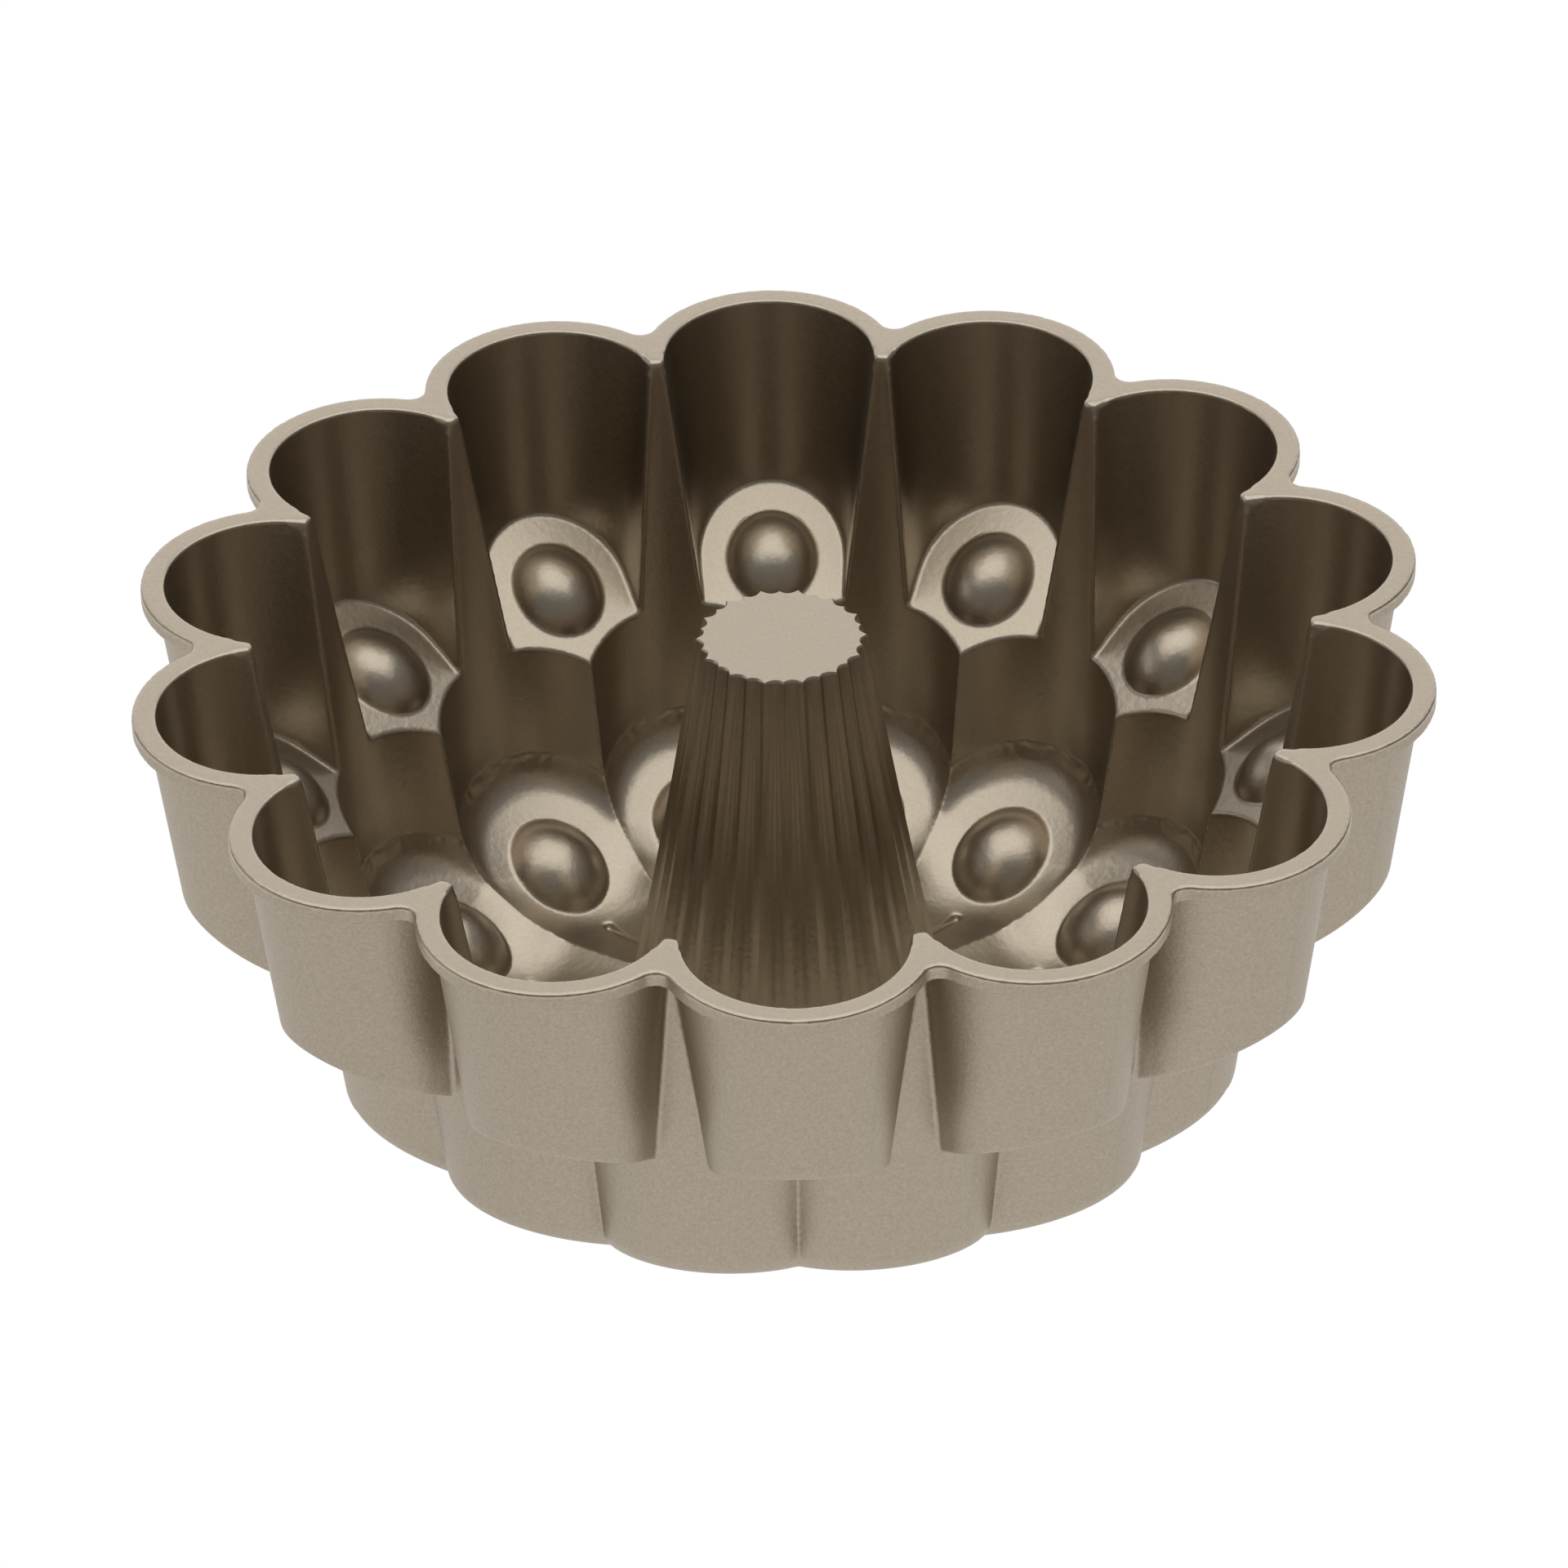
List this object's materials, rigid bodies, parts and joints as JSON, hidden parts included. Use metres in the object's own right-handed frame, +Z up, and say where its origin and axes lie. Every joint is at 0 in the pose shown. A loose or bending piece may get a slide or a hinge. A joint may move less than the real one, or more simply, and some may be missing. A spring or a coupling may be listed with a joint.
{
  "type": "cake pan",
  "caption": "Flower-shaped two-tier tube pan for baking: scalloped flat rim, sloping petals with round bumps and a fluted centre tube closed on top.",
  "frame": {"origin": "centre of the pan on the table plane, under the tube", "axes": "+Z up through the tube to the open rim; -Y to the front, through the middle of one upper petal"},
  "size_m": [0.245, 0.25, 0.101],
  "materials": {
    "coated_casting": "satin champagne non-stick coat, finer inside, matte outside"
  },
  "bodies": {
    "root": {"rim_flange": "coated_casting", "upper_petal_wall": "coated_casting", "ledge_ring": "coated_casting", "lower_petal_wall": "coated_casting", "scoop_floor": "coated_casting", "tube_wall": "coated_casting", "tube_cap": "coated_casting"}
  },
  "joints": []
}
